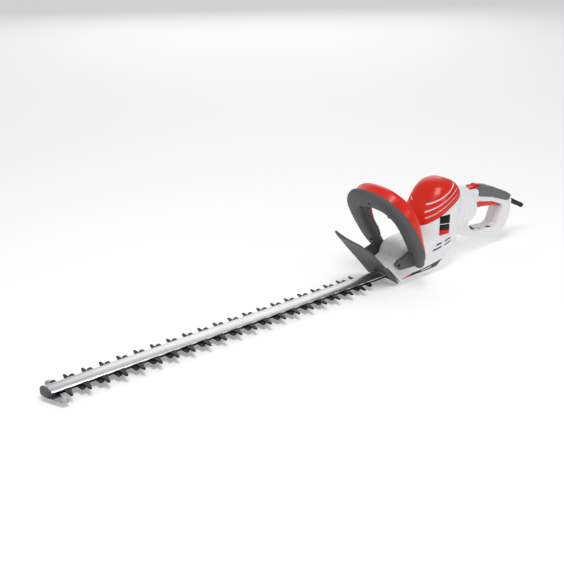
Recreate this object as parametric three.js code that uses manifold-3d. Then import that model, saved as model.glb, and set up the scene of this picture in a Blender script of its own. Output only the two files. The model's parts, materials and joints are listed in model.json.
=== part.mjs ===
// Electric hedge trimmer, in millimetres. +X runs forward along the blade, +Y is the tool's left, +Z is up.
// The origin is the middle of the sole that the tool stands on.
import * as THREE from 'three';
import { mergeVertices } from 'three/addons/utils/BufferGeometryUtils.js';
import Module from 'manifold-3d';

const wasm = await Module();
wasm.setup();

// ---------- driving dimensions ----------
const GAP = 0.3;                 // clearance between pieces that touch
const WALL = 3;                  // plastic wall thickness
const CAP_WALL = 2.6;

// cutting bar
const PITCH = 32;                // tooth to tooth
const TEETH = 20;                // teeth along each side of a blade
const FIRST_TOOTH = 728;         // front tooth of the upper blade
const REST_SHIFT = 3.9;          // each blade's offset from its middle place, upper back, lower forward
const LONG_REACH = 35.6;         // how far a long tooth stands out from the middle
const SHORT_REACH = 25.2;
const STRIP = 12;                // half the width of a blade's solid strip
const LOWER_BLADE = [9.2, 11.4]; // bottom and top of each layer
const UPPER_BLADE = [11.8, 14.0];
const BAR_Z = 14.4;
const BAR_HALF = 14;
const BAR_CROWN = 18.6;
const BAR_X = [18, 750];
const BOLT_X = [88, 235, 390, 545, 698];

// drive
const MOTOR_X = -84;             // upright motor shaft
const MODULE = 1.5;              // gear module
const PINION_TEETH = 9;
const GEAR_TEETH = 48;
const GEAR_X = MOTOR_X + MODULE * (PINION_TEETH + GEAR_TEETH) / 2;
const SHAFT_R = 3.6;
const AXLE_R = 6;                // the driven gear's axle
const BEARING_R = 8;
const BUSH_R = 9.4;
const THROW = 7.5;               // eccentricity of the cams
const CAM_R = 8;

// front handle: its face leans forward about the Y axis
const LEAN = THREE.MathUtils.degToRad(32);
const LOOP_ORIGIN = [12.3, 70.6]; // X and Z of the point that heights along the loop start from
const BAND = 20;                 // half the width of the loop's grip
const FOOT_BAND = 9.5;           // and of its two legs
const BAIL_GAP = 0.5;
const RIM = 2.4;                 // thickness of the grip shell's rims
const LOOP_STATIONS = 36;

// rear handle
const NECK_Z = 105;              // height of the swivel axis
const NECK_R = 37;
const SWIVEL_X = -146;
const NECK_END = -183;
const GRIP_HALF = 17;            // half the thickness of the rear handle

const COLOURS = {
  white: 0xe9e9ec, red: 0xd5281c, grey: 0x55565a, black: 0x1c1c1e, blade: 0x2a2a2c,
  steel: 0xc9cbd0, alloy: 0xa9abb0, copper: 0xb8703a, core: 0x6f7176, nylon: 0xd9d2bd,
};

// ---------- helpers ----------
const group = new THREE.Group();

function solid(geometry) {
  const bare = geometry.index ? geometry.toNonIndexed() : geometry.clone();
  bare.deleteAttribute('normal');
  bare.deleteAttribute('uv');
  const merged = mergeVertices(bare, 1e-4);
  return new wasm.Manifold(new wasm.Mesh({
    numProp: 3,
    vertProperties: new Float32Array(merged.attributes.position.array),
    triVerts: new Uint32Array(merged.index.array),
  }));
}

function add(name, shape, colour, metal = 0, rough = 0.5) {
  let geometry = shape;
  if (!shape.isBufferGeometry) {
    const mesh = shape.getMesh();
    geometry = new THREE.BufferGeometry();
    geometry.setAttribute('position', new THREE.BufferAttribute(mesh.vertProperties, 3));
    geometry.setIndex(new THREE.BufferAttribute(mesh.triVerts, 1));
    geometry = geometry.toNonIndexed();
    geometry.computeVertexNormals();
  }
  const material = new THREE.MeshStandardMaterial({ color: COLOURS[colour], metalness: metal, roughness: rough });
  const piece = new THREE.Mesh(geometry, material);
  piece.name = name;
  group.add(piece);
}

const vectors = (points) => points.map(([a, b]) => new THREE.Vector2(a, b));

// Extrudes an outline along Z from the lower to the upper height.
function prismZ(points, low, high) {
  const shape = new THREE.Shape(vectors(points));
  const geometry = new THREE.ExtrudeGeometry(shape, { depth: high - low, bevelEnabled: false });
  return geometry.translate(0, 0, low);
}

// Extrudes an X-Z outline to both sides of the middle plane, with chamfered rims that keep the full width.
function prismY(points, half, bevel = 0) {
  const shape = new THREE.Shape(vectors(points));
  const geometry = new THREE.ExtrudeGeometry(shape, {
    depth: 2 * (half - bevel), bevelEnabled: bevel > 0, bevelThickness: bevel, bevelSize: bevel,
    bevelOffset: -bevel, bevelSegments: bevel > 3 ? 2 : 1,
  });
  return geometry.translate(0, 0, bevel - half).rotateX(Math.PI / 2);
}

// Extrudes a Y-Z outline along X.
function prismX(points, from, to) {
  const geometry = new THREE.ExtrudeGeometry(new THREE.Shape(vectors(points)), {
    depth: to - from, bevelEnabled: false,
  });
  geometry.applyMatrix4(new THREE.Matrix4().set(0, 0, 1, from, 1, 0, 0, 0, 0, 1, 0, 0, 0, 0, 0, 1));
  return geometry;
}

function cylinder(radius, start, end, sides = 24, endRadius = radius) {
  const from = new THREE.Vector3(...start);
  const axis = new THREE.Vector3(...end).sub(from);
  const geometry = new THREE.CylinderGeometry(endRadius, radius, axis.length(), sides);
  geometry.applyQuaternion(new THREE.Quaternion().setFromUnitVectors(
    new THREE.Vector3(0, 1, 0), axis.clone().normalize()));
  return geometry.translate(...from.addScaledVector(axis, 0.5).toArray());
}

const upright = (radius, x, y, low, high, sides = 24) => cylinder(radius, [x, y, low], [x, y, high], sides);

function box(x, y, z) {
  return new THREE.BoxGeometry(x[1] - x[0], y[1] - y[0], z[1] - z[0])
    .translate((x[0] + x[1]) / 2, (y[0] + y[1]) / 2, (z[0] + z[1]) / 2);
}

// Skins a row of closed rings that have the same number of points, and closes both ends.
function loft(rings, section = null) {
  const count = rings[0].length;
  const positions = rings.flat().flatMap((p) => [p.x, p.y, p.z]);
  const index = [];
  for (let i = 0; i + 1 < rings.length; i += 1) {
    for (let j = 0; j < count; j += 1) {
      const a = i * count + j;
      const b = i * count + (j + 1) % count;
      index.push(a, b, b + count, a, b + count, a + count);
    }
  }
  const outline = section ?? Array.from({ length: count }, (_, j) => {
    const turn = 2 * Math.PI * j / count;
    return [Math.cos(turn), Math.sin(turn)];
  });
  const last = (rings.length - 1) * count;
  const clockwise = THREE.ShapeUtils.isClockWise(vectors(outline));
  for (const face of THREE.ShapeUtils.triangulateShape(vectors(outline), [])) {
    const [a, b, c] = clockwise ? [face[0], face[2], face[1]] : face;
    index.push(a, c, b, last + a, last + b, last + c);
  }
  let volume = 0;
  const at = (k) => new THREE.Vector3(...positions.slice(3 * index[k], 3 * index[k] + 3));
  for (let k = 0; k < index.length; k += 3) volume += at(k).dot(at(k + 1).cross(at(k + 2)));
  if (volume < 0) index.reverse();
  const geometry = new THREE.BufferGeometry();
  geometry.setAttribute('position', new THREE.Float32BufferAttribute(positions, 3));
  geometry.setIndex(index);
  return geometry;
}

// One rounded-box ring: power 2 is an ellipse, larger powers are squarer.
function roundedRing(count, power, place) {
  return Array.from({ length: count }, (_, j) => {
    const turn = 2 * Math.PI * (j + 0.5) / count;
    const bend = (v) => Math.sign(v) * Math.abs(v) ** (2 / power);
    return place(bend(Math.cos(turn)), bend(Math.sin(turn)));
  });
}

const union = (...parts) => parts.map((p) => (p.isBufferGeometry ? solid(p) : p)).reduce((a, b) => a.add(b));
const cut = (from, ...tools) => tools.reduce(
  (body, tool) => body.subtract(tool.isBufferGeometry ? solid(tool) : tool),
  from.isBufferGeometry ? solid(from) : from);
const half = (body, side) => body.intersect(solid(
  box([-400, 800], side > 0 ? [GAP / 2, 200] : [-200, -GAP / 2], [-50, 300])));

// ---------- cutting bar ----------
// Towards +Y a tooth's front flank is square to the bar, towards -Y its rear flank is.
function tooth(x, reach, side) {
  const tip = reach === LONG_REACH ? [[-1.4, reach], [-2.2, reach - 1.4]] : [[-1.0, reach], [-6.0, reach - 2.2]];
  const flank = [[2.6, STRIP], [2.2, reach - 1.2], [1.2, reach], ...tip, [-10, STRIP]];
  return flank.map(([along, out]) => [x + side * along, side * out]);
}

function blade(firstTooth, longSide, front, slotCentre, layer) {
  const yoke = [29.6, 22];
  const left = [];
  const right = [];
  for (let k = 0; k < TEETH; k += 1) {
    const x = firstTooth - k * PITCH;
    left.push(...tooth(x, longSide > 0 ? LONG_REACH : SHORT_REACH, 1));
    right.push(...tooth(x, longSide < 0 ? LONG_REACH : SHORT_REACH, -1).reverse());
  }
  const outline = [
    [front, STRIP - 3], ...left, [slotCentre + yoke[0] + 5, STRIP], [slotCentre + yoke[0], yoke[1]],
    [slotCentre - yoke[0], yoke[1]], [slotCentre - yoke[0], -yoke[1]], [slotCentre + yoke[0], -yoke[1]],
    [slotCentre + yoke[0] + 5, -STRIP], ...right.reverse(), [front, 3 - STRIP],
  ];
  const through = [layer[0] - 1, layer[1] + 1];
  const window = box([slotCentre - 23.6, slotCentre + 23.6], [-16, 16], through);
  const slots = BOLT_X.map((x) => box([x - 14.5, x + 14.5], [-3, 3], through));
  return cut(prismZ(outline, ...layer), window, ...slots);
}

const upperFirst = FIRST_TOOTH;
const lowerFirst = FIRST_TOOTH - PITCH + 2 * REST_SHIFT;
add('blade_upper', blade(upperFirst, 1, 735, GEAR_X - REST_SHIFT, UPPER_BLADE), 'blade', 0.8, 0.45);
add('blade_lower', blade(lowerFirst, -1, 737, GEAR_X + REST_SHIFT, LOWER_BLADE), 'blade', 0.8, 0.45);

const barSection = [[-BAR_HALF, BAR_Z], [BAR_HALF, BAR_Z], [BAR_HALF, 16], [9, 17.7], [0, BAR_CROWN], [-9, 17.7],
  [-BAR_HALF, 16]];
add('blade_bar', prismX(barSection, ...BAR_X), 'steel', 0.9, 0.25);

const noseOutline = [[750.3, -12.5], [755, -12.5], [759, -8], [760, 0], [759, 8], [755, 12.5], [750.3, 12.5]];
add('bar_nose', union(
  prismZ(noseOutline, 9, 18),
  box([749.8, 751], [-11, 11], [9, BAR_Z - GAP])), 'grey', 0.3, 0.5);

const tipPlate = [[716, -12], [724, -12], [724, -27], [725.5, -35], [730, -39], [736, -37], [740, -27], [743, -13],
  [758, -9], [758, 9], [753, 24], [747, 38], [741.5, 41], [736, 39.5], [735, 34], [739, 26], [737, 13], [716, 12]];
add('tip_guard', prismZ(tipPlate, 5.8, 8.7), 'steel', 0.8, 0.35);
add('tip_bolt', upright(4.5, 751, 0, 3.8, 5.5, 6), 'steel', 0.8, 0.4);

BOLT_X.forEach((x, k) => {
  add(`bar_bolt_${k + 1}`, union(upright(6, x, 0, 6, 8.8, 12), upright(2.6, x, 0, 8.5, BAR_Z - GAP, 12)),
    'steel', 0.8, 0.4);
});

// ---------- drive ----------
function gearOutline(teeth, x, phase) {
  const pitchR = MODULE * teeth / 2;
  const root = pitchR - 1.25 * MODULE;
  const tip = pitchR + 0.85 * MODULE;
  const outline = [];
  for (let k = 0; k < teeth; k += 1) {
    const middle = phase + 2 * Math.PI * k / teeth;
    for (const [r, share] of [[root, -0.31], [tip, -0.1], [tip, 0.1], [root, 0.31]]) {
      const turn = middle + 2 * Math.PI * share / teeth;
      outline.push([x + r * Math.cos(turn), r * Math.sin(turn)]);
    }
  }
  return outline;
}

add('motor_shaft', union(upright(SHAFT_R, MOTOR_X, 0, 24.5, 140, 20), upright(6, MOTOR_X, 0, 43.6, 45.6, 20)),
  'steel', 0.9, 0.3);
const onShaft = (shape) => cut(shape, upright(SHAFT_R + GAP, MOTOR_X, 0, 0, 150, 20));
add('pinion', onShaft(prismZ(gearOutline(PINION_TEETH, MOTOR_X, 0), 25.5, 32.2)), 'steel', 0.8, 0.35);
add('armature', onShaft(union(upright(15, MOTOR_X, 0, 57, 108), upright(19.5, MOTOR_X, 0, 62, 103))),
  'copper', 0.5, 0.45);
add('commutator', onShaft(upright(11, MOTOR_X, 0, 111, 123)), 'copper', 0.9, 0.3);
const fanBlades = Array.from({ length: 9 }, (_, k) => box([10, 29], [-0.9, 0.9], [47.6, 53])
  .rotateZ(2 * Math.PI * k / 9).translate(MOTOR_X, 0, 0));
add('cooling_fan', onShaft(union(upright(30, MOTOR_X, 0, 46, 48), upright(9, MOTOR_X, 0, 46, 53), ...fanBlades)),
  'black', 0, 0.6);
const ring = (outer, inner, low, high, x = MOTOR_X) => cut(
  upright(outer, x, 0, low, high), upright(inner, x, 0, low - 1, high + 1));
add('motor_stator', ring(32, 20.4, 62, 103), 'core', 0.6, 0.5);
add('lower_bearing', ring(BEARING_R, SHAFT_R + GAP, 36.5, 42.5), 'steel', 0.9, 0.25);
add('upper_bearing', ring(BEARING_R, SHAFT_R + GAP, 130.4, 136), 'steel', 0.9, 0.25);
const bridgePlate = box([MOTOR_X - 34, MOTOR_X + 30], [-12, 12], [127, 130]);
add('bearing_bridge', cut(union(bridgePlate, upright(11, MOTOR_X, 0, 127, 136)),
  upright(BEARING_R + GAP, MOTOR_X, 0, 130.1, 150), upright(5.5, MOTOR_X, 0, 120, 150)), 'alloy', 0.7, 0.5);
for (const [side, word] of [[1, 'left'], [-1, 'right']]) {
  const reach = [11.5, 28].map((v) => v * side).sort((a, b) => a - b);
  add(`brush_holder_${word}`, box([MOTOR_X - 5, MOTOR_X + 5], reach, [112, 122]), 'black', 0, 0.6);
}

add('drive_gear', cut(prismZ(gearOutline(GEAR_TEETH, GEAR_X, Math.PI * (1 + 1 / GEAR_TEETH)), 26, 31.7),
  upright(AXLE_R + GAP, GEAR_X, 0, 20, 60)), 'steel', 0.8, 0.4);
add('gear_axle', union(upright(AXLE_R, GEAR_X, 0, BAR_Z, 38), upright(CAM_R, GEAR_X, 0, BAR_Z, 17.6)), 'steel', 0.9, 0.3);
const camY = Math.sqrt(THROW ** 2 - REST_SHIFT ** 2);
add('cam_upper', upright(CAM_R, GEAR_X - REST_SHIFT, camY, 11.7, BAR_Z - GAP), 'steel', 0.9, 0.3);
add('cam_lower', upright(CAM_R, GEAR_X + REST_SHIFT, -camY, ...LOWER_BLADE), 'steel', 0.9, 0.3);
add('axle_bush', ring(BUSH_R, AXLE_R + GAP, 18.4, 25.4, GEAR_X), 'copper', 0.8, 0.4);

const basePlate = [[-90, -18], [-74, -34], [20, -34], [32, -20], [32, 20], [20, 34], [-74, 34], [-90, 18]];
add('gearbox_base', cut(union(prismZ(basePlate, 19, 23.6), upright(12, GEAR_X, 0, 18, 23.6)),
  upright(BUSH_R + GAP, GEAR_X, 0, 0, 60)), 'alloy', 0.7, 0.5);
const coverOuter = union(upright(40, GEAR_X, 0, 24, 34.6), upright(12, MOTOR_X, 0, 24, 43));
const coverInner = union(upright(38.4, GEAR_X, 0, 20, 32.6), upright(9, MOTOR_X, 0, 20, 34));
add('gearbox_cover', cut(coverOuter, coverInner, upright(BEARING_R + GAP, MOTOR_X, 0, 36.2, 60),
  upright(5.5, MOTOR_X, 0, 30, 60), upright(AXLE_R + GAP, GEAR_X, 0, 30, 60)), 'alloy', 0.7, 0.5);

// ---------- front handle ----------
// A place on the leaning loop: up its slope, across it, and out of its face.
function onLoop(up, across, out) {
  return new THREE.Vector3(
    LOOP_ORIGIN[0] + up * Math.sin(LEAN) + out * Math.cos(LEAN),
    across,
    LOOP_ORIGIN[1] + up * Math.cos(LEAN) - out * Math.sin(LEAN));
}

const halfLoop = [[50.5, -40], [55, -21], [60.5, -3], [63.5, 28], [63.5, 60], [56, 90], [34, 112]];
const loopCurve = new THREE.CatmullRomCurve3(
  [...halfLoop, [0, 118], ...halfLoop.map(([y, up]) => [-y, up]).reverse()]
    .map(([y, up]) => new THREE.Vector3(y, up, 0)), false, 'catmullrom', 0.5);

const blend = (v, from, to) => THREE.MathUtils.clamp((v - from) / (to - from), 0, 1);
const bandAt = (up) => FOOT_BAND + (BAND - FOOT_BAND) * blend(up, -40, 6);
const bailDepth = (up) => 6.5 + 21.5 * blend(up, -8, 92);

// Sweeps a section of across-the-band and out-of-the-face values along the part of the loop above a height.
function sweepLoop(lowest, section) {
  const rings = [];
  for (let k = 0; k <= LOOP_STATIONS; k += 1) {
    const t = k / LOOP_STATIONS;
    const p = loopCurve.getPoint(t);
    if (p.y < lowest) continue;
    const tangent = loopCurve.getTangent(t);
    rings.push(section(p.y).map(([u, out]) => onLoop(p.y - u * tangent.x, p.x + u * tangent.y, out)));
  }
  return loft(rings, section(60));
}

const gripSection = (up) => {
  const b = bandAt(up);
  const inner = Math.max(7 + 4 * blend(up, -14, 14), bailDepth(up) - 9);
  return [[b, -1.5], [b, 3.5], [0.9 * b, 7], [0.6 * b, 10], [0, 11.2], [-0.6 * b, 10], [-0.9 * b, 7], [-b, 3],
    [-b, -inner], [RIM - b, -inner], [RIM - b, 4.2], [-0.6 * b, 7], [0.6 * b, 7], [b - RIM, 4.2], [b - RIM, -1.5]];
};
const bailSection = (up) => {
  const b = bandAt(up) - RIM - BAIL_GAP - 2 * blend(up, 60, 100);
  const d = bailDepth(up);
  const turn = Math.min(9, d - 3);
  return [[b, -0.9], [b, turn - d], [b - 3, 0.3 * turn - d], [b - 8, -d], [4 - b, -d], [-b, 3 - d], [-b, -0.9],
    [2.2 - b, -0.9], [2.2 - b, 4.2 - d], [5 - b, 2.4 - d], [b - 8.5, 2.4 - d], [b - 4.6, 0.3 * turn + 1.8 - d],
    [b - 2.2, turn + 0.8 - d], [b - 2.2, -0.9]];
};

const legFoot = [[54, 47], [40, 34], [2, 32], [-8, 38], [-5, 52], [10, 68], [26, 60], [44, 55]];
const footPad = (side) => prismY(legFoot, 3.5).translate(0, side * 42.1, 0);
const gripScrews = [[115, 0], [91, 36], [91, -36], [-2, 53], [-2, -53]];
const screwHole = (up, across, radius, from, to) => cylinder(
  radius, onLoop(up, across, from).toArray(), onLoop(up, across, to).toArray(), 12);
const footScrew = (side, out) => [44, side * out, 45];
const frontHandle = cut(
  union(sweepLoop(-60, gripSection), footPad(1), footPad(-1)),
  ...gripScrews.map(([up, across]) => screwHole(up, across, 3.5, 7.6, 30)),
  ...[1, -1].map((side) => cylinder(3.3, [...footScrew(side, 43)], [...footScrew(side, 60)], 12)));
add('front_handle', frontHandle, 'grey', 0, 0.6);
add('switch_bail', sweepLoop(-7, bailSection), 'red', 0, 0.3);
gripScrews.forEach(([up, across], k) => {
  add(`grip_screw_${k + 1}`, screwHole(up, across, 3.1, 7.9, 9.2), 'black', 0.6, 0.5);
});
for (const [side, word] of [[1, 'left'], [-1, 'right']]) {
  add(`foot_screw_${word}`, cylinder(2.9, footScrew(side, 43.3), footScrew(side, 44.8), 12), 'black', 0.6, 0.5);
}

// ---------- body housing and motor cap ----------
// Height, rear end, front end and half width of the upright body, from the sole to the cap's crown.
const bodyStations = [[2.3, -74, 27, 38], [9, -88, 32, 42], [22, -110, 36, 45.5], [41, -131, 24, 47], [52, -135, 2, 46.5],
  [64, -137, -20, 46], [76, -137, -30, 45.5], [98, -137, -30, 45], [118, -137, -36, 45], [136, -137, -48, 44.5],
  [150, -136, -58, 42.5], [160, -133, -66, 38.5], [168, -127, -74, 32], [174, -118, -83, 22], [177, -106, -92, 10]];
const FRONT_POWER = 2.3;          // how square the body's rounded plan is, ahead and behind
const REAR_POWER = 3.4;
const BODY_POINTS = 32;
const bodyShape = (grow, from = 0, to = 300) => loft(bodyStations
  .filter(([z]) => z >= from && z <= to)
  .map(([z, rear, front, width], k, kept) => {
    const middle = (rear + front) / 2;
    const level = z - (k === 0 ? grow : 0) + (k === kept.length - 1 ? grow : 0);
    return Array.from({ length: BODY_POINTS }, (_, n) => {
      const turn = 2 * Math.PI * n / BODY_POINTS;
      const power = 2 / (Math.cos(turn) > 0 ? FRONT_POWER : REAR_POWER);
      const bent = (v) => Math.sign(v) * Math.abs(v) ** power;
      return new THREE.Vector3(middle + bent(Math.cos(turn)) * ((front - rear) / 2 + grow),
        bent(Math.sin(turn)) * (width + grow), level);
    });
  }));

const noseRings = (grow) => [[-30, 46, 0], [8, 46, 0], [27, 44.5, 6], [35, 40.5, 11], [54, 36, 24]].map(([x, top, lean], k) => {
  return [[-42, 3.2], [-44, 9], [-31, top - 3], [-27, top], [27, top], [31, top - 3], [44, 9], [42, 3.2]].map(([y, z]) => (
    new THREE.Vector3(
      x - lean * (top - z) / 33 + (k === 4 ? grow : 0),
      y + Math.sign(y) * grow, z + (z > 10 ? grow : -grow * 0.5))));
});
const noseSection = [[-42, 3.2], [-44, 9], [-31, 33], [-27, 36], [27, 36], [31, 33], [44, 9], [42, 3.2]];
const humpRings = (grow) => [[-70, 79, 38], [-20, 79, 38], [3, 77.5, 37], [14, 72.5, 34.5], [20.5, 66, 31], [23.5, 56, 26]]
  .map(([x, top, width], k) => roundedRing(20, 2.6, (a, b) => new THREE.Vector3(
    x + (k === 5 ? grow : 0), a * (width + grow), 40 + b * (b > 0 ? top - 40 + grow : 20))));
const spigot = (radius, to) => cylinder(radius, [-110, 0, NECK_Z], [to, 0, NECK_Z], 36);

const legPocket = [[64, 30.5], [-12, 30.5], [-17, 38], [-17, 96], [64, 96]];
const pocketWall = [[61, 28], [-14, 28], [-20, 36], [-20, 97], [61, 97]];
const sideCut = (outline, inner) => [1, -1].map((side) => prismY(outline, 20).translate(0, side * (inner + 20), 0));
const vents = [[-36, 58, -64, 61.5], [-69, 61.3, -94, 66.6], [-45, 67, -65, 68.6], [-69, 69, -94, 72.5]];
const ventCuts = vents.flatMap(([front, z1, rear, z2]) => sideCut(
  [[front, z1], [front - 1, z1 + 2.6], [rear, z2 + 2.6], [rear + 1, z2]], 27));
const underCap = [[60, -10], [60, 91.7], [-20, 91.7], [-125, 143.7], [-200, 159.7], [-200, -10]];
const overCap = [[60, 92], [-20, 92], [-125, 144], [-200, 160], [-200, 220], [60, 220]];

const bodyOutside = union(bodyShape(0), loft(noseRings(0), noseSection), loft(humpRings(0)),
  spigot(NECK_R - 0.5, SWIVEL_X + GAP));
const bodyInside = cut(
  union(bodyShape(-WALL), loft(noseRings(-WALL), noseSection), loft(humpRings(-WALL)), spigot(NECK_R - 0.5 - WALL, SWIVEL_X + 4)),
  ...sideCut(pocketWall, 36.2));
const bladeMouth = box([20, 80], [-24, 24], [8, 19]);
const shell = cut(bodyOutside, bodyInside, ...sideCut(legPocket, 38.4), bladeMouth, ...ventCuts);
const lowerShell = shell.intersect(solid(prismY(underCap, 100)));
add('housing_left', half(lowerShell, 1), 'white', 0, 0.4);
add('housing_right', half(lowerShell, -1), 'white', 0, 0.4);
add('motor_cap', cut(bodyShape(0), bodyShape(-CAP_WALL)).intersect(solid(prismY(overCap, 100)))
  .subtract(solid(spigot(NECK_R, -200))), 'red', 0, 0.3);

const soleOutline = [[-66, -22], [-54, -32], [14, -32], [22, -24], [22, 24], [14, 32], [-54, 32], [-66, 22]];
add('sole_plate', prismZ(soleOutline, 0, 2), 'grey', 0.2, 0.6);

// The badge is a thin curved plate on the left of the body.
const badgeTurn = THREE.MathUtils.degToRad(-20);
const badgeWindow = box([-12.5, 12.5], [20, 60], [78, 116]).rotateZ(badgeTurn).translate(-95, 0, 0);
add('badge_plate', cut(bodyShape(1.3, 60, 140), bodyShape(GAP)).intersect(solid(badgeWindow)), 'black', 0, 0.3);

// ---------- hand guard ----------
const guardRows = [[38.5, 40, 3], [53.4, 38.6, 19.5], [73.4, 39.6, 42.7], [90.3, 39.4, 60.9], [108.2, 36.6, 79.7],
  [122.4, 30.5, 92.7], [133, 22, 99.5], [145, 12.6, 108], [159, 4.4, 119], [168, 1.2, 127]];
const guardAcross = [-1, -0.5, 0, 0.5, 1];
const guardRings = guardRows.map(([x, width, z], k) => {
  const lean = THREE.MathUtils.degToRad(43 + 8 * Math.min(1, k / 5));
  const place = (share, depth) => new THREE.Vector3(
    x + (3 * share * share - 3 - depth) * Math.cos(lean), share * width,
    z - (3 * share * share - 3 - depth) * Math.sin(lean));
  return [...guardAcross.map((s) => place(s, 0)), ...guardAcross.map((s) => place(-s, 3))];
});
const guardFlat = [...guardAcross.map((s) => [s, s * s * 0.3]), ...guardAcross.map((s) => [-s, s * s * 0.3 - 0.2])];
const guardRib = [[34, 5.5], [37.5, 5.5], [66.5, 38], [60, 38]];
const rib = (side) => prismY(guardRib, 2).translate(0, side * 30, 0);
add('hand_guard', cut(union(loft(guardRings, guardFlat), rib(1), rib(-1)),
  box([20, 70], [-16, 16], [7.4, 20.5]), box([20, 60], [-60, 60], [-20, 2.4])), 'grey', 0, 0.6);

// ---------- rear handle ----------
const dOuter = [[-150, 130], [-150, 66], [-156, 57], [-181, 39.5], [-209, 25.5], [-245, 19.8], [-292, 25.6],
  [-304, 33], [-317, 54], [-321, 88], [-314, 101], [-301, 107.5], [-256, 127], [-232, 132.5], [-205, 134.8],
  [-170, 134.8]];
const dOpening = [[-184.5, 110], [-214, 107.5], [-255, 99], [-291, 84.5], [-277, 46.5], [-266, 41.5], [-204, 46.5],
  [-192, 54], [-184.5, 64]];
const upperHollow = [[-176, 120], [-176, 131.6], [-205, 131.6], [-231, 129.3], [-255, 124], [-299, 104.4],
  [-307, 99], [-307, 92], [-290, 99], [-250, 111], [-215, 119.5]];
const lowerHollow = [[-162, 76], [-163, 62], [-184, 46], [-210, 32], [-245, 26.5], [-290, 32.2], [-299, 38],
  [-310.5, 56], [-315, 88], [-300, 88], [-284, 44], [-268, 36.4], [-203, 41.2], [-188, 50.5], [-180, 62], [-180, 76]];
const triggerSlot = [[-187, 88], [-187, 120], [-215, 120.5], [-250, 112], [-290, 99.5], [-295, 94], [-295, 78],
  [-262, 86]];
const dBody = cut(
  union(cylinder(NECK_R, [SWIVEL_X - GAP, 0, NECK_Z], [NECK_END, 0, NECK_Z], 36),
    prismY(dOuter, GRIP_HALF, 5)),
  prismY(dOpening, 40),
  cylinder(NECK_R - WALL, [SWIVEL_X + 5, 0, NECK_Z], [NECK_END + 3, 0, NECK_Z], 36),
  prismY(upperHollow, 12.5), prismY(lowerHollow, 12.5), prismY(triggerSlot, 8.7),
  box([-231, -186], [-7.5, 7.5], [121, 150]),
  box([-222, -197], [-6, 6], [34, 60]),
  box([-330, -300], [-5.4, 5.4], [80, 96]));
add('handle_left', half(dBody, 1), 'white', 0, 0.4);
add('handle_right', half(dBody, -1), 'white', 0, 0.4);

const padTop = [[-206, 117], [-252, 106], [-302, 88], [-312, 91], [-316, 101], [-302, 109.5], [-257, 129.2],
  [-232, 134.8], [-206, 137]];
const padRoom = dOuter.map(([x, z]) => [x, z + (z > 90 ? GAP : 0)]);
add('grip_pad', cut(prismY(padTop, GRIP_HALF + 1.6, 5), prismY(padRoom, GRIP_HALF + GAP, 5),
  box([-234, -180], [-9, 9], [120, 150])), 'grey', 0, 0.8);

add('swivel_ring', cut(
  cylinder(NECK_R - 4.2, [SWIVEL_X - 9, 0, NECK_Z], [SWIVEL_X - 1, 0, NECK_Z], 36),
  cylinder(NECK_R - 10, [SWIVEL_X - 10, 0, NECK_Z], [SWIVEL_X, 0, NECK_Z], 36)), 'nylon', 0, 0.5);
add('switch_module', box([-240, -200], [-8, 8], [121.4, 126.4]), 'black', 0, 0.5);
const triggerSide = [[-190, 101], [-191, 95.5], [-216, 91.6], [-250, 88], [-280, 83.4], [-290, 84.5], [-291.5, 90],
  [-286, 95.4], [-250, 104.5], [-215, 112], [-194, 112]];
add('trigger', prismY(triggerSide, 8.2, 1.5), 'red', 0, 0.35);
add('trigger_spring', upright(2.4, -208, 0, 113.6, 121, 10), 'steel', 0.9, 0.3);
const buttonSide = [[-190, 131], [-190, 135.6], [-205, 138.4], [-212, 142], [-216, 141.6], [-229, 135], [-229, 131]];
add('lock_button', prismY(buttonSide, 7, 1), 'red', 0, 0.35);
const latchSide = [[-199, 35], [-214, 35], [-214, 46], [-210, 51.5], [-201, 52.5], [-199, 49]];
add('rotation_latch', prismY(latchSide, 5.6, 0.8), 'white', 0, 0.4);

// cord sleeve: a tapered tube with a collar, leaving the rear post downwards
const cordStart = new THREE.Vector3(-319.6, 0, 89);
const cordWay = new THREE.Vector3(-61.4, 0, -31.6).normalize();
const sleeveAt = (d) => cordStart.clone().addScaledVector(cordWay, d).toArray();
add('cord_sleeve', union(
  cylinder(5.8, sleeveAt(3.2), sleeveAt(50), 16, 5), cylinder(4.4, sleeveAt(49), sleeveAt(54), 16),
  cylinder(5.6, sleeveAt(53), sleeveAt(62), 16)), 'black', 0, 0.7);
add('cord_clamp', box([-312.6, -300.5], [-5, 5], [80.6, 85.5]), 'black', 0, 0.6);

// ---------- trim ----------
add('front_switch', box([-22, 4], [-7, 7], [56, 68]), 'black', 0, 0.5);
add('capacitor', cylinder(8, [-178, 0, 98], [-158, 0, 98], 20), 'core', 0, 0.5);

export default group;
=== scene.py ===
# %% [markdown]
# # A corded hedge trimmer
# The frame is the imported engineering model: it says where each part sits and which parts move together.
# Every visual piece below is made in that same frame, in metres, and rides on one of its moving bodies.
# The hard parts that are flat and machined keep their outline and gain ground edges. The moulded parts are
# made again as smooth volumes, because a real moulding has no facets.

# %% Load the frame
import json
import math

import bmesh
import bpy
import numpy as np
from mathutils import Matrix, Vector


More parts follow.
